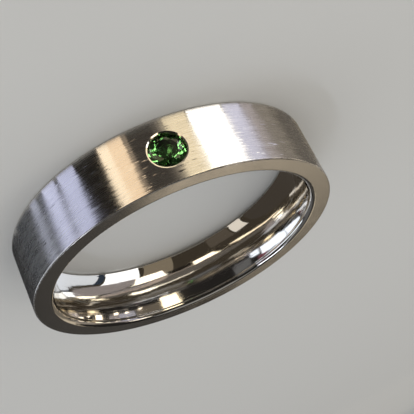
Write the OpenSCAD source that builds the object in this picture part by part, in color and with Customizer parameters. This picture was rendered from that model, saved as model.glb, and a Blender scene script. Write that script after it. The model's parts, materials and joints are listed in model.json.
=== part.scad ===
// A flat finger ring with one round brilliant set flush in its outer face.
// The ring lies on its side: its axis is +Z, the floor is z = 0, and the stone faces -Y.
// Lengths are millimetres and angles are degrees.

/* [Band] */
// Inside diameter at the straight land in the middle of the bore
finger_d = 18.1; // [15:0.1:23]
// Width of the band, along the ring's axis
band_w = 4.5; // [4:0.1:8]
// Wall thickness at the middle of the bore
band_t = 1.85; // [1.7:0.05:3]
// Chamfer on both outer edges
edge_break = 0.07; // [0.03:0.01:0.2]

/* [Comfort fit bore] */
// Width of the straight land in the middle of the bore
land_w = 0.8; // [0.3:0.1:1.6]
// How far the domed bore falls back from the land at the side face, before rounding
dome_drop = 0.54; // [0.3:0.01:0.8]
// Radius of the rounded inner edges
inner_round = 0.36; // [0.15:0.01:0.5]

/* [Stone] */
// Diameter of the stone at its girdle
stone_d = 2.5; // [1.8:0.05:2.6]
// Table width, corner to corner, as a share of the stone's diameter
table_share = 0.56; // [0.5:0.01:0.65]
// Slope of the eight kite facets of the crown
crown_angle = 34; // [30:0.5:38]
// Slope of the eight main facets of the pavilion
pavilion_angle = 41; // [39:0.5:43]
// Thickness of the girdle
girdle_t = 0.075; // [0.04:0.005:0.1]
// How far the star facets reach from the table towards the girdle, as a share
star_share = 0.5; // [0.35:0.01:0.65]
// How far the lower girdle facets reach from the girdle towards the point, as a share
lower_share = 0.78; // [0.6:0.01:0.85]
// Turn of the facets about the stone's own axis
stone_turn = 9; // [0:1:45]

/* [Setting] */
// How far the table lies below the band's outer face
table_sink = 0.01; // [0.01:0.01:0.1]
// Clearance all round the stone in its seat
seat_gap = 0.03; // [0.02:0.005:0.06]
// How far the burnished lip reaches in over the stone's girdle
lip_reach = 0.1; // [0.04:0.01:0.12]
// Height of the lip's upright edge
lip_land = 0.03; // [0.02:0.01:0.06]
// Slope of the bright cut bevel above the lip, from the stone's axis
bevel_angle = 34; // [15:1:40]
// Diameter of the drilled hole behind the stone
pilot_d = 1.3; // [0.8:0.05:1.5]
// Countersink where the drilled hole opens into the bore
pilot_break = 0.1; // [0.05:0.01:0.15]

/* [Hidden] */
$fn = 96;
// Cutting tools reach this far past what they cut
past = 1;
// How far the rounded edge's arc swings out past the dome's arc, so that the two cross
round_lap = 0.01;

finger_r = finger_d / 2;
outer_r = finger_r + band_t;
mid_z = band_w / 2;

// The bore's dome is one arc, centred at mid-width, through the land's two edges.
land_half = land_w / 2;
dome_out = (dome_drop * dome_drop + mid_z * mid_z - land_half * land_half) / (2 * dome_drop);
dome_r = sqrt(dome_out * dome_out + land_half * land_half);
dome_centre_r = finger_r + dome_out;
// The rounded edge's arc touches the side face at round_r and crosses the dome's arc.
round_z = mid_z - inner_round;
round_reach = dome_r - inner_round + round_lap;
round_turn = asin(round_z / round_reach);
round_r = dome_centre_r - round_reach * cos(round_turn);

// Facets are worked out from the points where they meet, on a girdle of radius stone_r.
kite_step = 45;
half_step = kite_step / 2;
quarter_step = kite_step / 4;
stone_r = stone_d / 2;
girdle_flat_r = stone_r * cos(quarter_step);
half_girdle = girdle_t / 2;
table_r = table_share * stone_r;
table_flat_r = table_r * cos(half_step);
table_z = half_girdle + (stone_r - table_r) * tan(crown_angle);
// Where two kites, a star and two upper girdle facets meet
star_r = table_flat_r + star_share * (stone_r - table_flat_r);
star_z = half_girdle + (stone_r - star_r * cos(half_step)) * tan(crown_angle);
star_angle = atan((table_z - star_z) / (star_r - table_flat_r));
upper_angle = atan((star_z - half_girdle) / (girdle_flat_r - star_r * cos(quarter_step)));
// Where two main facets and two lower girdle facets meet
lower_r = (1 - lower_share) * stone_r;
lower_z = half_girdle + (stone_r - lower_r * cos(half_step)) * tan(pavilion_angle);
lower_angle = atan((lower_z - half_girdle) / (girdle_flat_r - lower_r * cos(quarter_step)));
culet_z = half_girdle + stone_r * tan(pavilion_angle);

// The seat follows the stone. Heights are from mid-girdle along the stone's axis.
face_z = table_z + table_sink;
seat_r = stone_r + seat_gap;
mouth_r = stone_r - lip_reach;
pilot_r = pilot_d / 2;
// Rise of a cone that just clears the edges between the girdle facets
crown_rise = tan(upper_angle) * cos(quarter_step);
pavilion_rise = tan(lower_angle) * cos(quarter_step);
lip_under_z = half_girdle + (seat_r - mouth_r) * crown_rise;
lip_top_z = lip_under_z + lip_land;
bevel_top_z = face_z + past;
bevel_top_r = mouth_r + (bevel_top_z - lip_top_z) * tan(bevel_angle);
bearing_low_z = -half_girdle - (seat_r - pilot_r) * pavilion_rise;
bore_face_z = face_z - band_t;
break_top_z = bore_face_z + pilot_break;

// Half of the wall's section above mid-width, with the bore on the left.
module half_section() {
    difference() {
        intersection() {
            translate([finger_r, 0])
                square([band_t, mid_z]);
            translate([dome_centre_r, 0])
                circle(r = dome_r);
        }
        inner_edge_waste();
        outer_edge_waste();
    }
}

// What the rounded edge takes off the corner between the dome and the side face.
module inner_edge_waste() {
    far = 4 * inner_round;
    translate([round_r, round_z])
        difference() {
            polygon([
                [0, 0],
                [-far * cos(round_turn), far * sin(round_turn)],
                [0, far],
            ]);
            circle(r = inner_round);
        }
}

module outer_edge_waste() {
    translate([outer_r, mid_z])
        rotate(45)
            square(edge_break * sqrt(2), center = true);
}

module band_blank() {
    translate([0, 0, mid_z])
        rotate_extrude($fn = 180) {
            half_section();
            mirror([0, 1])
                half_section();
        }
}

// Everything a setter removes for the stone, turned about the stone's axis.
module seat_cut() {
    rotate_extrude()
        polygon([
            [0, bore_face_z - past],
            [pilot_r + pilot_break + past, bore_face_z - past],
            [pilot_r, break_top_z],
            [pilot_r, bearing_low_z],
            [seat_r, -half_girdle],
            [seat_r, half_girdle],
            [mouth_r, lip_under_z],
            [mouth_r, lip_top_z],
            [bevel_top_r, bevel_top_z],
            [0, bevel_top_z],
        ]);
}

// Moves a shape from the stone's own frame, table up, to its place in the band.
module at_setting() {
    translate([0, face_z - outer_r, mid_z])
        rotate([90, 0, 0])
            children();
}

// The space below a ring of like facets, a pyramid with one side for each: the first
// faces towards the angle given, and all pass through height_z at out_r from the axis.
module under_facets(count, first, slope, out_r, height_z) {
    half_side = 180 / count;
    apex_z = height_z + out_r * tan(slope);
    depth = apex_z + culet_z + past;
    base_r = depth / tan(slope) / cos(half_side);
    translate([0, 0, apex_z - depth])
        rotate([0, 0, first - half_side])
            linear_extrude(height = depth, scale = 0)
                circle(r = base_r, $fn = count);
}

module crown() {
    // Kites, stars and upper girdle facets
    intersection() {
        under_facets(8, 0, crown_angle, stone_r, half_girdle);
        under_facets(8, half_step, star_angle, table_flat_r, table_z);
        under_facets(16, quarter_step, upper_angle, girdle_flat_r, half_girdle);
    }
}

module pavilion() {
    // Main and lower girdle facets
    mirror([0, 0, 1])
        intersection() {
            under_facets(8, 0, pavilion_angle, stone_r, half_girdle);
            under_facets(16, quarter_step, lower_angle, girdle_flat_r, half_girdle);
        }
}

module brilliant() {
    intersection() {
        translate([0, 0, -culet_z])
            cylinder(r = stone_r, h = culet_z + table_z);
        crown();
        pavilion();
    }
}

module band() {
    color([0.66, 0.64, 0.61])
        difference() {
            band_blank();
            at_setting()
                seat_cut();
        }
}

module stone() {
    color([0.04, 0.36, 0.1])
        at_setting()
            rotate([0, 0, stone_turn])
                brilliant();
}

band();
stone();
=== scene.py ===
"""Dresses a flush set finger ring: a brushed white gold band with a polished bore, and the green
brilliant set in it. Lengths are metres, and angles in the scene's tables are degrees."""

import json
from math import atan, cos, hypot, pi, radians, sin, sqrt, tan

import bmesh
import bpy
from mathutils import Euler, Matrix, Vector


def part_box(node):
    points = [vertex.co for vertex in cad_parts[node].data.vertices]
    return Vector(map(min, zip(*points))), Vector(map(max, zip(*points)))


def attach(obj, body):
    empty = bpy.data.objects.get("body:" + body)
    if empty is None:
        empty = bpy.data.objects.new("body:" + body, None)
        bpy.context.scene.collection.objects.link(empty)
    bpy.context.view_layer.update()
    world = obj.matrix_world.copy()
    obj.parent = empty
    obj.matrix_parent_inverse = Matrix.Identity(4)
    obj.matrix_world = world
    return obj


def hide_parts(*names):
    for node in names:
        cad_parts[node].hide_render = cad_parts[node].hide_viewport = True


bl_info = {
    "name": "Flush Set Ring",
    "version": (1, 0, 0),
    "blender": (4, 5, 0),
    "location": "3D View > Sidebar > Ring",
    "description": "Builds the finish of a flush set ring and its studio",
    "category": "Object",
}

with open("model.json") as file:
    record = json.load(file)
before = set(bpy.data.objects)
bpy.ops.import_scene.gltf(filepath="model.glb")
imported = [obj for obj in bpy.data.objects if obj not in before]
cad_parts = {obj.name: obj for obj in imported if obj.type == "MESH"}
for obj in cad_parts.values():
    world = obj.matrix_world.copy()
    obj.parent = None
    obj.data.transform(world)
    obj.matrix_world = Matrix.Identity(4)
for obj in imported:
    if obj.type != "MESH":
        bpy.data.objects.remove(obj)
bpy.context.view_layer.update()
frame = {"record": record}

MM = 0.001
BAND_LOW, BAND_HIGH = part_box("band")
TABLE_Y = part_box("stone")[0].y
FINGER_BORE = next(mount for mount in frame["record"]["mounts"] if mount["name"] == "finger_bore")

# Steps along the section's arcs and sides of the stone's blank
DOME_STEPS = 22
ROUND_STEPS = 12
EDGE_STEPS = 6
GIRDLE_SIDES = 96

# Points closer than this, in metres, are one point. A cut leaves what lies as close as its slack.
WELD = 1e-7
STONE_WELD = 0.0005 * MM
CUT_SLACK = 1e-8

# A face counts as square to a direction, or as level, by the part of its normal along or across
# it. A finish reaches past the edge of its stretch by a margin, as a share of the edge's size.
SQUARE = 0.999
LEVEL = 0.05
SEAT_FACING = 0.95
GIRDLE_TILT = 0.1
OUTER_MARGIN = 0.3
EDGE_MARGIN = 1.05
RIM_MARGIN = 1.15

# The rim's waver grows to its full reach over this height above the lip. Its scale is the noise's.
WAVER_RISE = 0.18 * MM
WAVER_SCALE = 3.1

# How soon a scratch fades in its noise, and the turn of the brushing against the surface's own
CREST_FADE = 0.08
QUARTER_TURN = 0.25


# Sizes and finishes that a user would change

def length(name, description, default):
    """A length in metres, shown to a thousandth of a millimetre."""
    return bpy.props.FloatProperty(
        name=name, description=description, default=default, min=0.0, precision=6, unit="LENGTH")


def share(name, description, default):
    """A number between nothing and all."""
    return bpy.props.FloatProperty(
        name=name, description=description, default=default, min=0.0, max=1.0, subtype="FACTOR")


def angle(name, description, degrees_default):
    """An angle, given in degrees and kept in radians."""
    return bpy.props.FloatProperty(
        name=name, description=description, default=radians(degrees_default), subtype="ANGLE")


def color(name, description, default):
    """A linear colour without alpha."""
    return bpy.props.FloatVectorProperty(
        name=name, description=description, default=default, size=3, min=0.0, max=1.0,
        subtype="COLOR")


class BandSizes(bpy.types.PropertyGroup):
    """The section of the band, which is turned about the ring's axis."""

    outer_radius: length("Outer radius", "Radius of the brushed outer face", BAND_HIGH.x)
    width: length("Width", "Width of the band along the ring's axis", BAND_HIGH.z - BAND_LOW.z)
    bore_radius: length(
        "Bore radius", "Radius of the straight land", FINGER_BORE["dims"]["r_mm"] * MM)
    land_width: length(
        "Land", "Width of the straight land", FINGER_BORE["dims"]["length_mm"] * MM)
    dome_drop: length(
        "Dome drop", "How far the domed bore falls back at the edge faces", 0.54 * MM)
    inner_round: length("Inner round", "Radius of the rounded inner edges", 0.36 * MM)
    edge_round: length("Edge round", "Radius of the burnished outer edges", 0.09 * MM)
    segments: bpy.props.IntProperty(
        name="Segments", description="Steps round the ring", default=720, min=60, max=1440)


class StoneSizes(bpy.types.PropertyGroup):
    """The proportions of the round brilliant."""

    diameter: length("Diameter", "Diameter at the girdle", 2.5 * MM)
    table_share: share("Table", "Table width, corner to corner, as a share of the diameter", 0.56)
    crown_angle: angle("Crown angle", "Slope of the kite facets", 34)
    pavilion_angle: angle("Pavilion angle", "Slope of the main facets", 41)
    girdle: length("Girdle", "Thickness of the girdle", 0.075 * MM)
    star_share: share("Star reach", "How far the stars reach from the table to the girdle", 0.5)
    lower_share: share("Lower reach", "How far the lower girdle facets reach to the point", 0.78)
    turn: angle("Turn", "Turn of the facets about the stone's own axis", 9)


class SeatSizes(bpy.types.PropertyGroup):
    """The hole that holds the stone, with the lip that is burnished over its edge."""

    gap: length("Seat gap", "Clearance all round the stone", 0.03 * MM)
    lip_reach: length("Lip reach", "How far the lip reaches in over the girdle", 0.1 * MM)
    lip_land: length("Lip land", "Height of the lip's upright edge", 0.03 * MM)
    bright_cut: length("Bright cut", "Width of the burnished rim round the stone", 0.085 * MM)
    cut_slope: angle("Cut slope", "Slope of the burnished rim", 28)
    hole_diameter: length("Hole", "Diameter of the drilled hole behind the stone", 1.3 * MM)
    hole_break: length("Countersink", "Countersink of the drilled hole in the bore", 0.1 * MM)
    waver: length("Waver", "How far the hand cut rim strays from round", 0.03 * MM)
    segments: bpy.props.IntProperty(
        name="Segments", description="Steps round the seat", default=144, min=24, max=360)


class MetalFinish(bpy.types.PropertyGroup):
    """How the white gold is finished."""

    gold: color("White gold", "Colour of the polished metal", (0.76, 0.725, 0.67))
    # Painted shade: the seat under the stone gets this darker colour in place of the gold's own
    shaded_seat_gold: color("Burred gold", "Colour of the seat under the stone", (0.20, 0.185, 0.165))
    brushed_gold: color("Brushed gold", "Colour of the brushed metal", (0.72, 0.69, 0.645))
    brushed_dark: share("Brushed dark", "Share of its colour that a dark brush mark keeps", 0.72)
    brushed_roughness: share("Brushed roughness", "Roughness across the brush marks", 0.27)
    mark_sway: share("Mark sway", "How far the brush marks lean round the ring", 0.06)
    nick_sway: share("Nick sway", "How far the few deep nicks lean round the ring", 0.2)
    satin_dark: share("Satin dark", "Share of its colour that a dull edge face keeps", 0.9)
    satin_roughness: share("Satin roughness", "Roughness of the edge faces", 0.2)
    polished_roughness: share("Polished roughness", "Roughness of the bore", 0.09)
    wave_height: length("Wave height", "Height of the slow waves of the polish", 0.018 * MM)
    cut_roughness: share("Cut roughness", "Roughness of the bright cut", 0.09)
    burred_roughness: share("Burred roughness", "What the burr adds to it under the stone", 0.25)


class StoneFinish(bpy.types.PropertyGroup):
    """How the stone looks."""

    body: color("Body colour", "Colour of light that has passed through", (0.135, 0.37, 0.10))
    cloud_dark: share("Cloud dark", "Share of its colour that a clouded place keeps", 0.6)
    facet_tint: color("Facet tint", "What the facets' outsides mirror", (0.5, 0.56, 0.5))
    facet_roughness: share("Facet roughness", "Roughness of the polished facets", 0.05)
    girdle_roughness: share("Girdle roughness", "Least roughness of the ground girdle", 0.3)
    ior: bpy.props.FloatProperty(
        name="Index", description="Refractive index", default=1.66, min=1.3, max=2.5)


class StudioSettings(bpy.types.PropertyGroup):
    """The floor, the light and the camera."""

    floor: color("Floor", "Colour of the floor", (0.62, 0.62, 0.605))
    backdrop: color("Backdrop", "Even light on the floor and behind it", (0.52, 0.52, 0.51))
    room: color("Room", "Dim room that the metal and the stone mirror", (0.02, 0.019, 0.018))
    depth: color("Depth", "What shows through the stone where no lamp does", (0.055, 0.055, 0.045))
    light: bpy.props.FloatProperty(
        name="Light", description="Strength of all lights", default=1.0, min=0.0)
    lens: bpy.props.FloatProperty(
        name="Lens", description="Focal length on a 36 mm wide sensor, in millimetres",
        default=78.26, min=20.0, max=200.0)


# Node trees

class Value:
    """An output socket. Arithmetic on it adds Math nodes to its tree."""

    def __init__(self, nodes, socket):
        self.nodes = nodes
        self.socket = socket

    def math(self, operation, *others):
        values = dict(enumerate((self,) + others))
        return self.nodes.add("ShaderNodeMath", {"operation": operation}, values)

    def __add__(self, other):
        return self.math("ADD", other)

    def __sub__(self, other):
        return self.math("SUBTRACT", other)

    def __rsub__(self, other):
        return self.nodes.number(other).math("SUBTRACT", self)

    def __mul__(self, other):
        return self.math("MULTIPLY", other)

    def __truediv__(self, other):
        return self.math("DIVIDE", other)

    def __neg__(self):
        return self.math("MULTIPLY", -1.0)

    __radd__ = __add__
    __rmul__ = __mul__

    def root(self):
        return self.math("SQRT")

    def size(self):
        return self.math("ABSOLUTE")

    def above(self, limit):
        return self.math("GREATER_THAN", limit)

    def below(self, limit):
        return self.math("LESS_THAN", limit)

    def ramp(self, low, high):
        """0 at low and below, 1 at high and above, and smooth between."""
        return self.nodes.add(
            "ShaderNodeMapRange", {"interpolation_type": "SMOOTHSTEP"},
            {"Value": self, "From Min": low, "From Max": high})


class Nodes:
    """A node tree that is filled from Python."""

    def __init__(self, tree):
        self.tree = tree

    def add(self, kind, settings, values, output=0):
        """Adds a node, sets it up, fills or links its sockets and returns one of its outputs."""
        node = self.tree.nodes.new(kind)
        for name, setting in settings.items():
            setattr(node, name, setting)
        for key, value in values.items():
            socket = node.inputs[key]
            if isinstance(value, Value):
                value = [value]
            if isinstance(value, list):
                for one in value:
                    self.tree.links.new(one.socket, socket)
            else:
                socket.default_value = value
        return Value(self, node.outputs[output])

    def number(self, value):
        node = self.tree.nodes.new("ShaderNodeValue")
        node.outputs[0].default_value = value
        return Value(self, node.outputs[0])

    def split(self, vector):
        """The three components of a vector."""
        node = self.tree.nodes.new("ShaderNodeSeparateXYZ")
        self.tree.links.new(vector.socket, node.inputs[0])
        return [Value(self, socket) for socket in node.outputs]

    def join(self, x=0.0, y=0.0, z=0.0):
        return self.add("ShaderNodeCombineXYZ", {}, {"X": x, "Y": y, "Z": z})

    def unit(self, vector):
        """A vector drawn out or in to a length of 1."""
        return self.add("ShaderNodeVectorMath", {"operation": "NORMALIZE"}, {0: vector})

    def weld(self, geometry):
        """Joins points that lie in one place."""
        return self.add(
            "GeometryNodeMergeByDistance", {}, {"Geometry": geometry, "Distance": WELD})

    def mix(self, factor, first, second):
        """A colour between two."""
        return self.add(
            "ShaderNodeMix", {"data_type": "RGBA"}, {0: factor, 6: first, 7: second}, output=2)


def rgba(rgb, kept=1.0):
    """A colour for a socket, with each part cut to the share that is kept."""
    return (*[kept * part for part in rgb[:3]], 1.0)


# Materials

def new_material(name):
    """A material with an empty tree, and its tree's builder."""
    material = bpy.data.materials.new(name)
    material.use_nodes = True
    material.node_tree.nodes.clear()
    return material, Nodes(material.node_tree)


def finish_material(material, nodes, values, kind="ShaderNodeBsdfPrincipled"):
    """Adds the surface's shader and links it to the material's output."""
    surface = nodes.add(kind, {}, values)
    output = nodes.tree.nodes.new("ShaderNodeOutputMaterial")
    nodes.tree.links.new(surface.socket, output.inputs["Surface"])
    return material


def finish_metal(material, nodes, base, roughness, normal, others=()):
    """A metal of the given colour, roughness and normal, with any other sockets by name."""
    values = {"Base Color": base, "Metallic": 1.0, "Roughness": roughness, "Normal": normal}
    values.update(others)
    return finish_material(material, nodes, values)


def object_millimetres(nodes, stretch=(1.0, 1.0, 1.0)):
    """Object coordinates in millimetres, each divided by its own stretch."""
    place = nodes.add("ShaderNodeTexCoord", {}, {}, output="Object")
    scale = tuple(1.0 / (MM * one) for one in stretch)
    return nodes.add("ShaderNodeMapping", {}, {"Vector": place, "Scale": scale})


def streaks(nodes, run, width, detail=2.0):
    """Noise drawn out along the brushing: run long round the ring, width across, in millimetres."""
    return nodes.add(
        "ShaderNodeTexNoise", {},
        {"Vector": object_millimetres(nodes, (run, run, width)), "Scale": 1.0, "Detail": detail})


def specks(nodes, size, detail=2.0):
    """Even noise of the given size in millimetres."""
    return nodes.add(
        "ShaderNodeTexNoise", {},
        {"Vector": object_millimetres(nodes), "Scale": 1.0 / size, "Detail": detail})


def swing(noise, reach):
    """Noise, which lies about a half, as a change of up to half of reach either way."""
    return (noise - 0.5) * reach


def scratches(nodes, run, width, rarity):
    """Rare thin scratches: the highest crests of drawn out noise."""
    return streaks(nodes, run, width, detail=1.0).ramp(rarity, rarity + CREST_FADE)


def bump(nodes, height, distance):
    """A normal from a height of 0 to 1 that stands for a distance in metres."""
    return nodes.add("ShaderNodeBump", {}, {"Height": height, "Distance": distance})


def swayed(nodes, slope):
    """The outer face's normal, leaning by a slope round the ring."""
    x, y, _ = nodes.split(object_millimetres(nodes))
    lean = nodes.join(x - y * slope, y + x * slope, 0.0)
    turned = nodes.add(
        "ShaderNodeVectorTransform",
        {"vector_type": "NORMAL", "convert_from": "OBJECT", "convert_to": "WORLD"}, {0: lean})
    return nodes.unit(turned)


def brushed_gold(finish):
    """Marks of an abrasive drawn round the ring. Light spreads across them, so what the face
    mirrors turns into bands that run straight over the width."""
    material, nodes = new_material("brushed_white_gold")
    fine = streaks(nodes, run=1.0, width=0.04)
    marks = streaks(nodes, run=1.7, width=0.1)
    broad = streaks(nodes, run=4.0, width=0.4)
    nicks = scratches(nodes, run=0.7, width=0.07, rarity=0.67)
    grain = fine * 0.4 + marks * 0.4 + broad * 0.2
    tone = swing(grain, 3.2) + 0.5
    sway = (marks + fine - 1.0) * finish.mark_sway + nicks * finish.nick_sway
    base = nodes.mix(
        tone, rgba(finish.brushed_gold, finish.brushed_dark), rgba(finish.brushed_gold))
    roughness = swing(grain, 0.3) + finish.brushed_roughness
    across_marks = {"Anisotropic": 1.0, "Anisotropic Rotation": QUARTER_TURN}
    return finish_metal(material, nodes, base, roughness, swayed(nodes, sway), across_marks)


def satin_gold(finish):
    """Fine abrasive finish of the flat edge faces, without a direction."""
    material, nodes = new_material("satin_white_gold")
    fine = specks(nodes, size=0.09, detail=3.0)
    broad = specks(nodes, size=1.6)
    roughness = swing(fine, 0.16) + swing(broad, 0.16) + finish.satin_roughness
    base = nodes.mix(broad, rgba(finish.gold, finish.satin_dark), rgba(finish.gold))
    return finish_metal(material, nodes, base, roughness, bump(nodes, fine, 0.0012 * MM))


def polished_gold(finish):
    """Mirror polish of the bore, with the hair scratches and slow waves of a worn ring."""
    material, nodes = new_material("polished_white_gold")
    waves = specks(nodes, size=1.6)
    ripples = specks(nodes, size=0.5)
    hairs = scratches(nodes, run=2.2, width=0.05, rarity=0.64)
    roughness = hairs * 0.12 + swing(waves, 0.05) + finish.polished_roughness
    height = waves + ripples * 0.12 - hairs * 0.03
    return finish_metal(
        material, nodes, rgba(finish.gold), roughness, bump(nodes, height, finish.wave_height))


def cut_gold(finish, girdle_y):
    """The bright cut round the stone, with the graver's fine chatter. Inwards from mid-girdle the
    seat is painted darker, as painted shade under the stone, and is as dull as the burr left it."""
    material, nodes = new_material("bright_cut_white_gold")
    chatter = specks(nodes, size=0.16)
    _, depth, _ = nodes.split(object_millimetres(nodes))
    # Painted shade: from mid-girdle inwards the seat takes a darker colour, as in the shade under
    # the stone. The burr's added roughness there is real.
    burr_and_shade = depth.above(girdle_y / MM)
    base = nodes.mix(burr_and_shade, rgba(finish.gold), rgba(finish.shaded_seat_gold))
    roughness = swing(chatter, 0.08) + burr_and_shade * finish.burred_roughness + finish.cut_roughness
    return finish_metal(material, nodes, base, roughness, bump(nodes, chatter, 0.002 * MM))


def cut_stone(finish):
    """Clear green stone. Slow clouds in the colour keep its facets from looking alike."""
    material, nodes = new_material("green_brilliant")
    clouds = specks(nodes, size=0.8)
    return finish_material(material, nodes, {
        "Base Color": nodes.mix(clouds, rgba(finish.body, finish.cloud_dark), rgba(finish.body)),
        "Roughness": finish.facet_roughness,
        "IOR": finish.ior,
        "Specular Tint": rgba(finish.facet_tint),
        "Transmission Weight": 1.0,
    })


def ground_stone(finish):
    """The girdle, ground round and left matt."""
    material, nodes = new_material("green_girdle")
    return finish_material(material, nodes, {
        "Base Color": rgba(finish.body),
        "Roughness": specks(nodes, size=0.04) * 0.2 + finish.girdle_roughness,
        "IOR": finish.ior,
        "Transmission Weight": 1.0,
    })


def floor_paint(settings):
    """Matt paint of the floor."""
    material, nodes = new_material("pale_floor")
    return finish_material(material, nodes, {
        "Base Color": rgba(settings.floor), "Roughness": 0.6, "Specular IOR Level": 0.25})


def card_paint(name, tint, brightness):
    """Card of even brightness, whatever light falls on it."""
    material, nodes = new_material(name)
    values = {"Color": rgba(tint), "Strength": brightness}
    return finish_material(material, nodes, values, "ShaderNodeEmission")


# The stone and its seat, worked out from the proportions

class Brilliant:
    """Where the facets of a round brilliant meet. Heights are from mid-girdle, table up."""

    KITES = 8

    def __init__(self, sizes):
        half_step = pi / self.KITES
        quarter_step = half_step / 2
        self.radius = sizes.diameter / 2
        self.half_girdle = sizes.girdle / 2
        self.turn = sizes.turn
        self.crown_angle = sizes.crown_angle
        self.pavilion_angle = sizes.pavilion_angle
        self.girdle_flat = self.radius * cos(quarter_step)
        table_radius = sizes.table_share * self.radius
        self.table_flat = table_radius * cos(half_step)
        crown_rise = tan(sizes.crown_angle)
        self.table = self.half_girdle + (self.radius - table_radius) * crown_rise
        star = self.table_flat + sizes.star_share * (self.radius - self.table_flat)
        star_height = self.half_girdle + (self.radius - star * cos(half_step)) * crown_rise
        self.star_angle = atan((self.table - star_height) / (star - self.table_flat))
        self.upper_angle = atan(
            (star_height - self.half_girdle) / (self.girdle_flat - star * cos(quarter_step)))
        pavilion_rise = tan(sizes.pavilion_angle)
        lower = (1 - sizes.lower_share) * self.radius
        lower_depth = self.half_girdle + (self.radius - lower * cos(half_step)) * pavilion_rise
        self.lower_angle = atan(
            (lower_depth - self.half_girdle) / (self.girdle_flat - lower * cos(quarter_step)))
        self.culet = self.half_girdle + self.radius * pavilion_rise
        self.girdle_y = TABLE_Y + self.table

    def cuts(self):
        """Each facet's plane: the turn it faces, its slope, and a radius and height that it
        passes through. A pavilion facet's height is below mid-girdle."""
        step = 2 * pi / self.KITES
        rows = []
        for index in range(self.KITES):
            turn = index * step
            rows.append((turn, self.crown_angle, self.radius, self.half_girdle))
            rows.append((turn + step / 2, self.star_angle, self.table_flat, self.table))
            rows.append((turn, -self.pavilion_angle, self.radius, -self.half_girdle))
            for side in (-1, 1):
                edge = turn + side * step / 4
                rows.append((edge, self.upper_angle, self.girdle_flat, self.half_girdle))
                rows.append((edge, -self.lower_angle, self.girdle_flat, -self.half_girdle))
        return rows


def setting_place(band, stone):
    """Turns a shape from the stone's own frame, table up, to its place in the band."""
    turned = Euler((pi / 2, 0, 0)).to_matrix().to_4x4()
    return Matrix.Translation((0, stone.girdle_y, band.width / 2)) @ turned


class Seat:
    """What the setter removes for the stone: the radius and height of each of its corners, from
    the bore upwards. Heights are from mid-girdle along the stone's axis."""

    def __init__(self, band, stone, sizes):
        face = band.outer_radius + stone.girdle_y
        past = band.width / 4
        hole = sizes.hole_diameter / 2
        mouth = stone.radius - sizes.lip_reach
        quarter = cos(pi / Brilliant.KITES / 2)
        self.radius = stone.radius + sizes.gap
        lip_under = stone.half_girdle + (self.radius - mouth) * tan(stone.upper_angle) * quarter
        self.lip_top = lip_under + sizes.lip_land
        shoulder = mouth + sizes.lip_land
        shoulder_height = face - sizes.bright_cut * tan(sizes.cut_slope)
        self.rim = shoulder + sizes.bright_cut
        bearing_low = -stone.half_girdle - (self.radius - hole) * tan(stone.lower_angle) * quarter
        bore_face = face - (band.outer_radius - band.bore_radius)
        self.corners = [
            (0, bore_face - past),
            (hole + sizes.hole_break + past, bore_face - past),
            (hole, bore_face + sizes.hole_break),
            (hole, bearing_low),
            (self.radius, -stone.half_girdle),
            (self.radius, stone.half_girdle),
            (mouth, lip_under),
            (mouth, self.lip_top),
            (shoulder, shoulder_height),
            (self.rim, face),
            (self.rim + past / tan(sizes.cut_slope), face + past),
            (0, face + past),
        ]
        self.place = setting_place(band, stone)
        self.waver = sizes.waver
        self.segments = sizes.segments


# The band

def add_input(tree, name, socket_type, default):
    """A named input of a Geometry Nodes tree."""
    socket = tree.interface.new_socket(name, in_out="INPUT", socket_type=socket_type)
    socket.default_value = default
    return socket


def curve_line(nodes, start, end):
    """A straight stretch of the section."""
    return nodes.add(
        "GeometryNodeCurvePrimitiveLine", {},
        {"Start": nodes.join(*start), "End": nodes.join(*end)})


def curve_arc(nodes, center, radius, start, sweep, steps):
    """An arc in the plane of the section. Angles are measured clockwise from the outside."""
    arc = nodes.add("GeometryNodeCurveArc", {"mode": "RADIUS"}, {
        "Resolution": steps, "Radius": radius, "Start Angle": start, "Sweep Angle": sweep})
    return nodes.add(
        "GeometryNodeTransform", {}, {"Geometry": arc, "Translation": nodes.join(*center)})


def revolve(nodes, radius, segments, pieces):
    """Turns pieces of a section about Z. A section's X is measured from radius, its Y downwards."""
    circle = nodes.add(
        "GeometryNodeCurvePrimitiveCircle", {}, {"Resolution": segments, "Radius": radius})
    section = nodes.add("GeometryNodeJoinGeometry", {}, {0: pieces})
    return nodes.add("GeometryNodeCurveToMesh", {}, {"Curve": circle, "Profile Curve": section})


def band_blank(nodes, size):
    """The band before it is cut: half of its section turned about the axis, and its mirror."""
    mid = size["Width"] / 2
    wall = size["Outer Radius"] - size["Bore Radius"]
    land = size["Land Width"] / 2
    drop = size["Dome Drop"]
    dome_out = (drop * drop + mid * mid - land * land) / (drop * 2)
    dome_radius = (dome_out * dome_out + land * land).root()
    inner = size["Inner Round"]
    edge = size["Edge Round"]
    land_turn = (land / dome_radius).math("ARCSINE")
    round_height = mid - inner
    round_turn = (round_height / (dome_radius - inner)).math("ARCSINE")
    round_out = dome_out - (dome_radius - inner) * round_turn.math("COSINE")
    half = [
        curve_line(nodes, (0.0, 0.0), (0.0, -land)),
        curve_arc(
            nodes, (dome_out,), dome_radius, land_turn - pi, round_turn - land_turn, DOME_STEPS),
        curve_arc(
            nodes, (round_out, -round_height), inner, round_turn - pi, pi / 2 - round_turn,
            ROUND_STEPS),
        curve_line(nodes, (round_out, -mid), (wall - edge, -mid)),
        curve_arc(nodes, (wall - edge, edge - mid), edge, -pi / 2, pi / 2, EDGE_STEPS),
        curve_line(nodes, (wall, edge - mid), (wall, 0.0)),
    ]
    top = revolve(nodes, size["Bore Radius"], size["Segments"], half)
    mirrored = nodes.add(
        "GeometryNodeTransform", {}, {"Geometry": top, "Scale": (1.0, 1.0, -1.0)})
    bottom = nodes.add("GeometryNodeFlipFaces", {}, {"Mesh": mirrored})
    whole = nodes.weld(nodes.add("GeometryNodeJoinGeometry", {}, {0: [top, bottom]}))
    return nodes.add(
        "GeometryNodeTransform", {}, {"Geometry": whole, "Translation": nodes.join(z=mid)})


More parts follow.
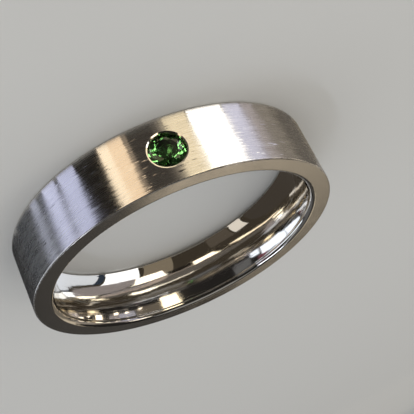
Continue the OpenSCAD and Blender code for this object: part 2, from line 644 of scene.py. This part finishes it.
def seat_cutter(nodes, size, seat):
    """The seat's corners turned about the stone's axis. Above the lip, the rim follows the round
    of the band and wavers as a hand cut one does."""
    pieces = [
        curve_line(
            nodes, (first[0] - seat.radius, -first[1]), (second[0] - seat.radius, -second[1]))
        for first, second in zip(seat.corners[::-1], seat.corners[-2::-1])
    ]
    whole = nodes.weld(revolve(nodes, seat.radius, size["Seat Segments"], pieces))
    x, y, z = nodes.split(nodes.add("GeometryNodeInputPosition", {}, {}))
    heading = nodes.unit(nodes.join(x, y))
    fall = x * x / (size["Outer Radius"] * -2.0)
    noise = nodes.add("ShaderNodeTexNoise", {}, {
        "Vector": heading, "Scale": WAVER_SCALE, "Detail": 3.0, "Roughness": 0.6})
    lift = (z - seat.lip_top).math("MULTIPLY", 1 / WAVER_RISE).math("MINIMUM", 1.0)
    above_lip = lift.math("MAXIMUM", 0.0)
    stray = swing(noise, 2.0) * size["Waver"] * above_lip
    sideways = nodes.add(
        "ShaderNodeVectorMath", {"operation": "SCALE"}, {0: heading, "Scale": stray})
    offset = nodes.add(
        "ShaderNodeVectorMath", {}, {0: sideways, 1: nodes.join(z=fall * above_lip)})
    wavered = nodes.add("GeometryNodeSetPosition", {}, {"Geometry": whole, "Offset": offset})
    return nodes.add("GeometryNodeTransform", {}, {
        "Geometry": wavered, "Translation": seat.place.to_translation(),
        "Rotation": seat.place.to_euler()})


def finish_selections(nodes, size, seat):
    """Which faces get which finish. A later finish takes its faces from the ones before it."""
    x, y, z = nodes.split(nodes.add("GeometryNodeInputPosition", {}, {}))
    across, away, up = nodes.split(nodes.add("GeometryNodeInputNormal", {}, {}))
    radius = (x * x + y * y).root()
    facing = (x * across + y * away) / radius
    height = z - size["Width"] / 2
    from_stone = (x * x + height * height).root()
    tilt = up.size()
    outer = size["Outer Radius"]
    edge = size["Edge Round"]
    return [
        ("polished", nodes.number(1.0)),
        ("brushed", radius.above(outer - edge * OUTER_MARGIN) * facing.above(SQUARE)),
        ("satin", tilt.above(LEVEL) * radius.above(outer - edge * EDGE_MARGIN)),
        ("satin", tilt.above(SQUARE)),
        ("cut", facing.size().below(SEAT_FACING) * from_stone.below(seat.rim * RIM_MARGIN)
            * y.below(0.0)),
    ]


def band_tree(band, seat, finishes):
    """Geometry Nodes for the band, and the values of its named inputs."""
    tree = bpy.data.node_groups.new("flush_set_band", "GeometryNodeTree")
    lengths = {
        "Outer Radius": band.outer_radius, "Width": band.width, "Bore Radius": band.bore_radius,
        "Land Width": band.land_width, "Dome Drop": band.dome_drop,
        "Inner Round": band.inner_round, "Edge Round": band.edge_round, "Waver": seat.waver,
    }
    counts = {"Segments": band.segments, "Seat Segments": seat.segments}
    sockets = {}
    for socket_type, values in (("NodeSocketFloat", lengths), ("NodeSocketInt", counts)):
        for name, value in values.items():
            sockets[name] = add_input(tree, name, socket_type, value)
    tree.interface.new_socket("Geometry", in_out="OUTPUT", socket_type="NodeSocketGeometry")
    nodes = Nodes(tree)
    entry = tree.nodes.new("NodeGroupInput")
    size = {name: Value(nodes, entry.outputs[name]) for name in sockets}

    cut = nodes.add(
        "GeometryNodeMeshBoolean", {"operation": "DIFFERENCE", "solver": "EXACT"},
        {"Mesh 1": band_blank(nodes, size), "Mesh 2": seat_cutter(nodes, size, seat)})
    smooth = nodes.add("GeometryNodeSetShadeSmooth", {}, {0: cut, "Shade Smooth": True})
    finished = nodes.add("GeometryNodeRealizeInstances", {}, {0: smooth})
    for name, selection in finish_selections(nodes, size, seat):
        finished = nodes.add(
            "GeometryNodeSetMaterial", {},
            {"Geometry": finished, "Selection": selection, "Material": finishes[name]})
    output = tree.nodes.new("NodeGroupOutput")
    tree.links.new(finished.socket, output.inputs[0])
    values = {**lengths, **counts}
    return tree, {sockets[name].identifier: value for name, value in values.items()}


def evaluated_mesh(tree, inputs, name):
    """Runs a Geometry Nodes tree on an empty mesh and returns a piece with the result."""
    piece = bpy.data.objects.new(name, bpy.data.meshes.new(name))
    bpy.context.scene.collection.objects.link(piece)
    modifier = piece.modifiers.new("shape", "NODES")
    modifier.node_group = tree
    for identifier, value in inputs.items():
        modifier[identifier] = value
    graph = bpy.context.evaluated_depsgraph_get()
    mesh = bpy.data.meshes.new_from_object(piece.evaluated_get(graph))
    piece.modifiers.clear()
    piece.data = mesh
    mesh.name = name
    drop_empty_slots(mesh)
    return piece


def drop_empty_slots(mesh):
    """Takes out the material slots that no face uses."""
    used = sorted({face.material_index for face in mesh.polygons})
    kept = [mesh.materials[index] for index in used]
    order = [used.index(face.material_index) for face in mesh.polygons]
    mesh.materials.clear()
    for material in kept:
        mesh.materials.append(material)
    mesh.polygons.foreach_set("material_index", order)


def require_closed(piece):
    """Stops the script where a piece has an open edge, which no real solid has."""
    solid = bmesh.new()
    solid.from_mesh(piece.data)
    open_edges = sum(not edge.is_manifold for edge in solid.edges)
    solid.free()
    if open_edges:
        raise RuntimeError(f"{piece.name} has {open_edges} open edges")


class BandSurface:
    """The exact normals of the turned band, which its facets only come near."""

    def __init__(self, band):
        self.mid = band.width / 2
        self.outer = band.outer_radius
        self.edge = band.edge_round
        land = band.land_width / 2
        drop = band.dome_drop
        dome_out = (drop * drop + self.mid * self.mid - land * land) / (2 * drop)
        self.dome_radius = hypot(dome_out, land)
        self.dome_center = band.bore_radius + dome_out
        reach = self.dome_radius - band.inner_round
        self.round_height = self.mid - band.inner_round
        self.round_center = self.dome_center - sqrt(reach * reach - self.round_height ** 2)

    def normal(self, point):
        radius = hypot(point.x, point.y)
        height = point.z - self.mid
        side = 1.0 if height > 0 else -1.0
        tall = abs(height)
        outer_bend = self.outer - self.edge
        if radius > outer_bend and tall > self.mid - self.edge:
            out, up = radius - outer_bend, tall - (self.mid - self.edge)
        elif radius > outer_bend - self.edge:
            out, up = 1.0, 0.0
        elif radius < self.round_center and tall > self.round_height:
            out, up = radius - self.round_center, tall - self.round_height
        elif radius < self.round_center:
            out, up = -sqrt(max(self.dome_radius ** 2 - tall ** 2, 0.0)), tall
        else:
            out, up = 0.0, 1.0
        long = hypot(out, up)
        return Vector((point.x / radius * out, point.y / radius * out, side * up)) / long


def seat_normal(point, face_normal, face_center, mid):
    """A seat face's normal carried round the stone's axis to one of its corners."""
    axis = Vector((0.0, -1.0, 0.0))
    middle = Vector((face_center.x, 0.0, face_center.z - mid)).normalized()
    corner = Vector((point.x, 0.0, point.z - mid)).normalized()
    return (corner * face_normal.dot(middle) + axis * face_normal.dot(axis)).normalized()


def set_exact_normals(piece, band):
    """Gives each corner of the band the normal of the real turned surface."""
    mesh = piece.data
    surface = BandSurface(band)
    kinds = [material.name for material in mesh.materials]
    flat_up = Vector((0.0, 0.0, 1.0))
    normals = [None] * len(mesh.loops)
    for face in mesh.polygons:
        kind = kinds[face.material_index]
        for index in face.loop_indices:
            point = mesh.vertices[mesh.loops[index].vertex_index].co
            if kind == "bright_cut_white_gold":
                normals[index] = seat_normal(point, face.normal, face.center, band.width / 2)
            elif kind == "satin_white_gold" and abs(face.normal.z) > SQUARE:
                normals[index] = flat_up * (1.0 if face.normal.z > 0 else -1.0)
            else:
                normals[index] = surface.normal(point)
    mesh.normals_split_custom_set(normals)


class RING_OT_band(bpy.types.Operator):
    """Turn the band, cut the stone's seat in it and finish each of its faces"""

    bl_idname = "ring.band"
    bl_label = "Make Band"

    def execute(self, context):
        scene = context.scene
        finish = scene.ring_metal
        stone = Brilliant(scene.ring_stone)
        finishes = {
            "polished": polished_gold(finish),
            "brushed": brushed_gold(finish),
            "satin": satin_gold(finish),
            "cut": cut_gold(finish, stone.girdle_y),
        }
        seat = Seat(scene.ring_band, stone, scene.ring_seat)
        tree, inputs = band_tree(scene.ring_band, seat, finishes)
        piece = evaluated_mesh(tree, inputs, "ring_band")
        require_closed(piece)
        set_exact_normals(piece, scene.ring_band)
        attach(piece, "root")
        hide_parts("band")
        return {"FINISHED"}


def brilliant_mesh(stone, place):
    """A round blank, cut by one plane for each facet and moved to its place."""
    gem = bmesh.new()
    bmesh.ops.create_cone(
        gem, cap_ends=True, segments=GIRDLE_SIDES, radius1=stone.radius, radius2=stone.radius,
        depth=stone.table + stone.culet,
        matrix=Matrix.Translation((0, 0, (stone.table - stone.culet) / 2)))
    for turn, slope, out, height in stone.cuts():
        rise = cos(slope) * (1 if slope > 0 else -1)
        normal = Vector((sin(abs(slope)) * cos(turn), sin(abs(slope)) * sin(turn), rise))
        through = Vector((out * cos(turn), out * sin(turn), height))
        whole = gem.verts[:] + gem.edges[:] + gem.faces[:]
        cut = bmesh.ops.bisect_plane(
            gem, geom=whole, dist=CUT_SLACK, plane_co=through, plane_no=normal, clear_outer=True)
        rim = [item for item in cut["geom_cut"] if isinstance(item, bmesh.types.BMEdge)]
        if rim:
            bmesh.ops.contextual_create(gem, geom=rim)
    bmesh.ops.remove_doubles(gem, verts=gem.verts, dist=STONE_WELD)
    bmesh.ops.recalc_face_normals(gem, faces=gem.faces)
    for face in gem.faces:
        face.material_index = 1 if abs(face.normal.z) < GIRDLE_TILT else 0
        face.smooth = False
    gem.transform(place @ Matrix.Rotation(stone.turn, 4, "Z"))
    mesh = bpy.data.meshes.new("brilliant")
    gem.to_mesh(mesh)
    gem.free()
    return mesh


class RING_OT_stone(bpy.types.Operator):
    """Cut the brilliant facet by facet and set it in its seat"""

    bl_idname = "ring.stone"
    bl_label = "Make Stone"

    def execute(self, context):
        scene = context.scene
        stone = Brilliant(scene.ring_stone)
        mesh = brilliant_mesh(stone, setting_place(scene.ring_band, stone))
        mesh.materials.append(cut_stone(scene.ring_gem))
        mesh.materials.append(ground_stone(scene.ring_gem))
        piece = bpy.data.objects.new("brilliant", mesh)
        scene.collection.objects.link(piece)
        require_closed(piece)
        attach(piece, "root")
        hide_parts("stone")
        return {"FINISHED"}


# The studio

# Tints that several lights or cards share
SKY = (0.93, 0.95, 1.0)
WINDOW = (0.80, 0.87, 1.0)
WINDOW_SIDE = (0.70, 0.76, 1.0)
PANE = (0.66, 0.71, 1.0)
GLINT = (1.0, 0.88, 0.70)
GLEAM = (0.95, 1.0, 0.9)
TAN = (1.0, 0.90, 0.78)
AMBER = (1.0, 0.87, 0.68)
CREAM = (1.0, 0.93, 0.78)

# Soft boxes round the ring. Each is given by the stretch of the band's outer face that mirrors it
# to the camera, in degrees from the stone and counted towards +X, and by the two heights that it
# stands between, in millimetres. The dim room shows between them and gives the dark bands.
SOFT_BOXES = [
    # (name, start, end, low, high, brightness, color)
    ("back_window", 84, 69, 3, 200, 0.10, SKY),
    ("far_window", 66, 54.5, 8, 48, 1.7, WINDOW),
    ("high_side", 66, 60, 80, 200, 0.6, SKY),
    ("bright_pane", 54.0, 38.6, 3, 48, 1.8, WINDOW),
    ("red_curtain", 41.5, 36.5, 46, 80, 0.15, (1.0, 0.22, 0.35)),
    ("near_pane", 37.6, 33.2, 4, 38, 1.7, WINDOW),
    ("low_wall", 32, 24, 25, 85, 0.13, SKY),
    ("warm_door", -2.3, -10.2, 14, 80, 2.8, (1.0, 0.86, 0.61)),
    ("sun", -10.6, -23.0, 3, 12, 3.0, (1.0, 0.985, 0.96)),
    ("bronze_wall", -10.6, -23.0, 31, 130, 0.13, (1.0, 0.84, 0.64)),
    ("bright_wall", -23.6, -30.5, 33, 200, 0.5, (0.80, 0.81, 1.0)),
    ("wall", -30.8, -36.0, 28, 200, 0.3, (1.0, 0.91, 0.93)),
    ("dim_wall", -36.2, -44.0, 38, 110, 0.27, TAN),
    ("left_glint", -30.5, -32.5, 22, 31, 4.0, GLINT),
    ("middle_glint", -39.5, -43.0, 17, 36, 4.0, GLINT),
    ("sun_glint", -19.4, -20.6, 32, 38, 5.0, GLINT),
    ("pane_glint", -26.4, -27.4, 60, 68, 5.0, GLINT),
    ("small_glint", -31.6, -32.8, 50, 57, 5.0, GLINT),
    ("edge_glint", -57.2, -59.0, 3, 9, 5.0, GLINT),
    ("near_glint", -26.0, -27.2, 30, 38, 5.0, GLINT),
    ("high_glint", -36.0, -37.6, 42, 50, 5.0, GLINT),
    ("low_glint", -46.5, -48.0, 10, 16, 5.0, GLINT),
    ("right_glint", -51.0, -53.5, 6, 17, 4.0, GLINT),
    ("dark_wall", -44.0, -60.0, 28, 108, 0.27, TAN),
    ("edge_wall", -61.0, -76.6, 3, 64, 0.17, AMBER),
    ("upper_wall", -61.0, -78.5, 66, 80, 0.37, AMBER),
    ("top_wall", -61.0, -78.9, 80, 104, 0.62, AMBER),
    ("high_window", 74.0, 42.0, 205, 238, 6.0, (0.80, 0.86, 1.0)),
    ("high_lamp", -26.0, -40.0, 205, 270, 3.0, (1.0, 0.92, 0.80)),
    ("far_wall", -79.2, -86.0, 3, 200, 0.042, (1.0, 0.93, 0.86)),
]
# Those that don't show through the stone, and how far from the axis all of them stand
HIDDEN_FROM_STONE = ("warm_door", "sun")
SOFT_BOX_REACH = 0.16

# Small lamps that show only through the stone, as glints near its edge. They are placed as the
# soft boxes are.
STONE_LAMPS = [
    # (name, start, end, low, high, brightness, color)
    ("left_gleam", 10.5, 13.0, 48, 76, 8.5, GLEAM),
    ("low_gleam", -2.8, -5.0, 70, 145, 9.5, GLEAM),
    ("right_gleam", 4.8, 9.4, 80, 106, 9.5, GLEAM),
    ("foot_gleam", 11.8, 16.0, 3, 20, 6.5, GLEAM),
]

# Lights above the ring, and the rays that don't meet them. The metal mirrors only the second. It
# hangs lower, because in one place the two would hide each other.
TOP_LIGHTS = [
    # (name, height, side, brightness, hidden_from)
    ("top_light", 0.32, 0.22, 0.8, ("glossy",)),
    ("top_glow", 0.30, 0.20, 0.30, ("diffuse", "transmission")),
]
TOP_TINT = (1.0, 0.99, 0.97)

# Pale cards on the floor, which the foot of the band mirrors. They are placed by its stretches too.
FLOOR_CARDS = [
    # (name, start, end, brightness, color)
    ("back_window", 84, 69, 0.045, SKY),
    ("far_window", 66, 54.5, 0.045, WINDOW),
    ("window_side", 52.0, 48.2, 0.76, WINDOW_SIDE),
    ("window_edge", 46.6, 44.4, 0.04, WINDOW_SIDE),
    ("window_pane", 44.4, 38.2, 1.45, PANE),
    ("window_near", 36.6, 29.6, 1.42, PANE),
    ("lamp_core", 20.2, 16.6, 2.1, (1.0, 0.84, 0.63)),
    ("lamp_shade", 16.6, 11.7, 1.8, (1.0, 0.77, 0.53)),
    ("lamp_edge", 11.7, 10.1, 0.45, (1.0, 0.80, 0.60)),
    ("brown_gap", 10.1, 1.8, 0.080, (1.0, 0.87, 0.74)),
    ("door_shadow", 1.8, 0.2, 0.15, (1.0, 0.87, 0.72)),
    ("door_edge", 0.2, -1.0, 0.30, (1.0, 0.87, 0.70)),
    ("door_frame", -1.0, -2.3, 0.55, (1.0, 0.87, 0.66)),
    ("warm_door", -2.3, -10.2, 1.4, (1.0, 0.86, 0.61)),
    ("sun", -10.6, -23.0, 3.4, (1.0, 0.985, 0.96)),
    ("bright_wall", -23.6, -30.5, 1.4, (0.80, 0.81, 1.0)),
    ("wall", -30.8, -36.0, 0.62, (1.0, 0.91, 0.93)),
    ("dim_wall", -36.2, -44.0, 0.36, TAN),
    ("dark_wall", -44.0, -60.0, 0.165, TAN),
    ("edge_wall", -61.0, -76.6, 0.26, AMBER),
]

# Pale cards on the floor behind the ring, between two turns from the stone
BACK_CARDS = [
    # (name, start, end, brightness, color)
    ("back_pane", 134, 152, 0.42, (0.90, 0.94, 1.0)),
    ("back_wall", 162, 187, 0.30, (1.0, 0.95, 0.88)),
    ("back_door", 196, 214, 0.75, (1.0, 0.90, 0.76)),
    ("back_glow", 226, 262, 0.36, (1.0, 0.96, 0.92)),
]

# Slips on the card inside the ring, which the bore mirrors. Each lies between two turns at its
# outer radius and leans by an angle to its inner one. Radii are in millimetres.
SLIPS = [
    # (name, start, end, lean, inner, outer, brightness, color)
    ("left_slip", 118, 143.5, 0, 8.5, 9.5, 0.95, (0.86, 0.91, 1.0)),
    ("blue_slip", 143.5, 147, 0, 8.4, 9.5, 0.07, (0.50, 0.68, 1.0)),
    ("middle_slip", 147, 164, 2, 8.0, 9.5, 1.7, (0.95, 0.97, 1.0)),
    ("bronze_slip", 167, 181, 0, 7.4, 9.5, 0.24, (1.0, 0.84, 0.62)),
    ("mauve_slip", 130, 165, 16, 5.7, 8.2, 0.30, (1.0, 0.90, 0.90)),
    ("pink_slip", 174, 188, 6, 5.2, 6.6, 0.50, (1.0, 0.82, 0.70)),
    ("dark_slip", 166, 200, 0, 6.5, 7.4, 0.02, (1.0, 0.85, 0.70)),
    ("cream_slip", 164, 176, 4, 6.8, 8.2, 2.4, CREAM),
    ("low_cream_slip", 188, 236, 0, 2.8, 4.5, 2.2, CREAM),
    ("grey_slip", 181, 197, 4, 3.2, 6.4, 0.13, (1.0, 0.90, 0.80)),
    ("warm_slip", 189, 198, 0, 6.3, 7.4, 2.4, (1.0, 0.88, 0.66)),
    ("brown_slip", 199, 211, 0, 8.2, 9.5, 0.10, (1.0, 0.84, 0.66)),
    ("pale_slip", 212, 219, 0, 8.3, 9.5, 0.9, (1.0, 0.94, 0.85)),
    ("glint_slip", 203, 208, 0, 6.1, 6.9, 1.8, (1.0, 0.85, 0.62)),
    ("deep_slip", 222, 262, 0, 7.0, 9.5, 0.06, (1.0, 0.85, 0.70)),
    ("side_slip", 60, 84, 0, 6.5, 9.0, 0.6, (1.0, 0.92, 0.78)),
    ("near_slip", -74, -12, 0, 4.5, 9.3, 0.22, (1.0, 0.96, 0.90)),
    ("front_slip", -2, 40, 0, 5.5, 9.3, 0.16, (0.92, 0.94, 1.0)),
]

# The cards that lie under the others, outside and inside the ring: name, colour and brightness
DARK_CARD = ("dark_card", (1.0, 0.85, 0.7), 0.02)
BROWN_CARD = ("brown_card", (1.0, 0.82, 0.6), 0.05)
# How far cards keep from the ring and lie above one another, how far from the axis they reach, and
# the turn between two corners of an edge
CARD_GAP = 0.3 * MM
CARD_LIFT = 0.01 * MM
CARD_REACH = 0.075
DARK_REACH = 1.5 * CARD_REACH
CARD_STEP = 4

ROOM_RADIUS = 1.2
DEPTH_RADIUS = 0.9 * ROOM_RADIUS
FLOOR_SIDE = 3.0

# The camera's turn from the stone, its height and its roll, and where it stands from the middle of
# the ring: across, above and back
CAMERA_TURN = 11.0
CAMERA_HEIGHT = 24.32
CAMERA_ROLL = 153.875
CAMERA_PLACE = Vector((2.2584, 1.4653, 62.54)) * MM
SENSOR_WIDTH = 36.0
NEAREST_SEEN = 0.001


def hide(holder, *rays):
    """Hides a light or a piece from some kinds of rays."""
    for ray in rays:
        setattr(holder, "visible_" + ray, False)


def mirrored_line(scene, turn):
    """On the floor plan, the foot of the band at a turn from the stone, and the direction in which
    it mirrors the camera's sight."""
    outwards = Vector((sin(turn), -cos(turn)))
    foot = outwards * scene.ring_band.outer_radius
    seen = (foot - scene.camera.location.xy).normalized()
    return foot, seen - outwards * 2 * seen.dot(outwards)


def mirrored_place(scene, turn):
    """Where on the floor plan the band, at a turn from the stone, shows the camera a soft box."""
    foot, mirrored = mirrored_line(scene, turn)
    along = foot.dot(mirrored)
    past_foot = SOFT_BOX_REACH ** 2 - foot.length_squared
    return foot + mirrored * (sqrt(along ** 2 + past_foot) - along)


def area_light(scene, name, size, brightness, tint, place, target):
    """A rectangle of light of even brightness, as seen, turned to face a target."""
    lamp = bpy.data.lights.new(name, "AREA")
    lamp.shape = "RECTANGLE"
    lamp.size, lamp.size_y = size
    lamp.energy = brightness * pi * size[0] * size[1] * scene.ring_studio.light
    lamp.color = tint
    holder = bpy.data.objects.new(name, lamp)
    turned = (target - place).to_track_quat("-Z", "Y").to_matrix().to_4x4()
    holder.matrix_world = Matrix.Translation(place) @ turned
    hide(holder, "camera")
    scene.collection.objects.link(holder)
    return holder


def add_soft_box(scene, name, start, end, low, high, brightness, tint):
    """Stands a soft box where a stretch of the band mirrors it."""
    first = mirrored_place(scene, radians(start))
    last = mirrored_place(scene, radians(end))
    middle = (low + high) / 2 * MM
    size = ((last - first).length, (high - low) * MM)
    place = Vector((*(first + last) / 2, middle))
    return area_light(scene, name, size, brightness, tint, place, Vector((0, 0, middle)))


def add_lights(scene):
    for row in SOFT_BOXES:
        box = add_soft_box(scene, *row)
        if row[0] in HIDDEN_FROM_STONE:
            hide(box, "transmission")
    for row in STONE_LAMPS:
        hide(add_soft_box(scene, *row), "glossy", "diffuse")
    for name, height, side, brightness, hidden_from in TOP_LIGHTS:
        above = Vector((0, 0, height))
        lamp = area_light(
            scene, name, (side, side), brightness, TOP_TINT, above, Vector((0, 0, 0)))
        hide(lamp, *hidden_from)


def stage_mesh(scene, name, corners, faces, material):
    """A piece of the stage."""
    mesh = bpy.data.meshes.new(name)
    mesh.from_pydata(corners, [], faces)
    mesh.materials.append(material)
    piece = bpy.data.objects.new(name, mesh)
    scene.collection.objects.link(piece)
    return piece


def add_floor(scene):
    half = FLOOR_SIDE / 2
    corners = [(-half, -half, 0), (half, -half, 0), (half, half, 0), (-half, half, 0)]
    stage_mesh(scene, "floor", corners, [(0, 1, 2, 3)], floor_paint(scene.ring_studio))


def card_stretch(start, end, line):
    """Corners of a strip on the floor: two for each step of the turn, from line(turn)."""
    steps = max(2, round(abs(end - start) / CARD_STEP))
    corners = []
    for index in range(steps + 1):
        corners.extend(line(radians(start + (end - start) * index / steps)))
    faces = [(at, at + 1, at + 3, at + 2) for at in range(0, 2 * steps, 2)]
    return corners, faces


def add_card(scene, name, corners, faces, layer, material):
    """A card on the floor that only reflections see."""
    lifted = [(*corner, layer * CARD_LIFT) for corner in corners]
    card = stage_mesh(scene, name, lifted, faces, material)
    hide(card, "camera", "diffuse", "shadow")
    card.visible_transmission = layer == 1


def add_ring_card(scene, name, start, end, inner, outer, layer, material, lean=0.0):
    """A card between two radii. The lean turns its inner edge on."""
    def line(turn):
        low = Vector((sin(turn + lean), -cos(turn + lean)))
        return low * inner, Vector((sin(turn), -cos(turn))) * outer
    add_card(scene, name, *card_stretch(start, end, line), layer, material)


def add_mirrored_card(scene, name, start, end, layer, material):
    """A card along the lines in which the foot of the band mirrors the camera's sight."""
    def line(turn):
        foot, mirrored = mirrored_line(scene, turn)
        return foot + mirrored * CARD_GAP, foot + mirrored * CARD_REACH
    add_card(scene, name, *card_stretch(start, end, line), layer, material)


def add_cards(scene):
    """Dark card under and round the ring, and on it the pale cards that give the bright bands and
    the slips that the bore mirrors."""
    outside = scene.ring_band.outer_radius + CARD_GAP
    inside = scene.ring_band.bore_radius + scene.ring_band.dome_drop - CARD_GAP
    add_ring_card(
        scene, "outer_card", 0, 360, outside, DARK_REACH, 1, card_paint(*DARK_CARD))
    add_ring_card(scene, "inner_card", 0, 360, 0.0, inside, 1, card_paint(*BROWN_CARD))
    for name, start, end, brightness, tint in FLOOR_CARDS:
        paint = card_paint(name, tint, brightness)
        add_mirrored_card(scene, name + "_card", start, end, 2, paint)
    for name, start, end, brightness, tint in BACK_CARDS:
        paint = card_paint(name, tint, brightness)
        add_ring_card(scene, name, start, end, outside, CARD_REACH, 2, paint)
    for layer, (name, start, end, lean, inner, outer, brightness, tint) in enumerate(SLIPS, 2):
        paint = card_paint(name, tint, brightness)
        add_ring_card(
            scene, name, start, end, inner * MM, outer * MM, layer, paint, radians(lean))


def add_dome(scene, name, tint, radius, hidden_from):
    """A dome of even brightness round the stage, hidden from the camera and the floor."""
    dome = bmesh.new()
    bmesh.ops.create_icosphere(dome, subdivisions=3, radius=radius)
    corners = [tuple(vertex.co) for vertex in dome.verts]
    faces = [tuple(vertex.index for vertex in face.verts) for face in dome.faces]
    dome.free()
    room = stage_mesh(scene, name, corners, faces, card_paint(name, tint, 1.0))
    hide(room, "camera", "diffuse", "shadow", hidden_from)


def add_room(scene):
    """A pale backdrop for the camera and the floor, a dim room for reflections, and another that
    shows through the stone."""
    world = bpy.data.worlds.new("backdrop")
    world.use_nodes = True
    background = world.node_tree.nodes["Background"]
    background.inputs["Color"].default_value = rgba(scene.ring_studio.backdrop)
    world.cycles_visibility.glossy = False
    world.cycles_visibility.transmission = False
    scene.world = world
    add_dome(scene, "dim_room", scene.ring_studio.room, ROOM_RADIUS, "transmission")
    add_dome(scene, "stone_depth", scene.ring_studio.depth, DEPTH_RADIUS, "glossy")


def add_camera(scene):
    """Sees the ring at the photographed angle, rolled as the photograph is."""
    turn = radians(CAMERA_TURN)
    tilt = radians(CAMERA_HEIGHT)
    roll = radians(CAMERA_ROLL)
    back = Vector((sin(turn) * cos(tilt), -cos(turn) * cos(tilt), sin(tilt)))
    level = (-back).cross(Vector((0, 0, 1))).normalized()
    upright = level.cross(-back)
    across = level * cos(roll) + upright * sin(roll)
    above = upright * cos(roll) - level * sin(roll)
    middle = Vector((0, 0, scene.ring_band.width / 2))
    place = (
        middle + across * CAMERA_PLACE.x + above * CAMERA_PLACE.y + back * CAMERA_PLACE.z)
    turned = Matrix((across, above, back)).transposed().to_4x4()
    holder = bpy.data.objects.new("camera", bpy.data.cameras.new("camera"))
    holder.data.lens = scene.ring_studio.lens
    holder.data.sensor_width = SENSOR_WIDTH
    holder.data.clip_start = NEAREST_SEEN
    holder.matrix_world = Matrix.Translation(place) @ turned
    scene.collection.objects.link(holder)
    scene.camera = holder


class RING_OT_stage(bpy.types.Operator):
    """Lay the floor, set up the lights and aim the camera"""

    bl_idname = "ring.stage"
    bl_label = "Make Stage"

    def execute(self, context):
        scene = context.scene
        add_camera(scene)
        add_floor(scene)
        add_cards(scene)
        add_lights(scene)
        add_room(scene)
        scene.view_settings.view_transform = "Standard"
        return {"FINISHED"}


class RING_PT_panel(bpy.types.Panel):
    """The ring's sizes, finishes and steps"""

    bl_idname = "RING_PT_panel"
    bl_label = "Flush Set Ring"
    bl_space_type = "VIEW_3D"
    bl_region_type = "UI"
    bl_category = "Ring"

    def draw(self, context):
        for operator in OPERATORS:
            self.layout.operator(operator.bl_idname)
        for name, group in SETTINGS.items():
            box = self.layout.box()
            box.label(text=group.__doc__)
            for key in group.__annotations__:
                box.prop(getattr(context.scene, name), key)


SETTINGS = {
    "ring_band": BandSizes,
    "ring_stone": StoneSizes,
    "ring_seat": SeatSizes,
    "ring_metal": MetalFinish,
    "ring_gem": StoneFinish,
    "ring_studio": StudioSettings,
}
OPERATORS = (RING_OT_band, RING_OT_stone, RING_OT_stage)


def register():
    for group in (*SETTINGS.values(), *OPERATORS, RING_PT_panel):
        bpy.utils.register_class(group)
    for name, group in SETTINGS.items():
        setattr(bpy.types.Scene, name, bpy.props.PointerProperty(type=group))


def unregister():
    for name in SETTINGS:
        delattr(bpy.types.Scene, name)
    for group in (RING_PT_panel, *OPERATORS, *SETTINGS.values()):
        bpy.utils.unregister_class(group)


def main():
    register()
    bpy.ops.ring.band()
    bpy.ops.ring.stone()
    bpy.ops.ring.stage()


if __name__ == "__main__":
    main()
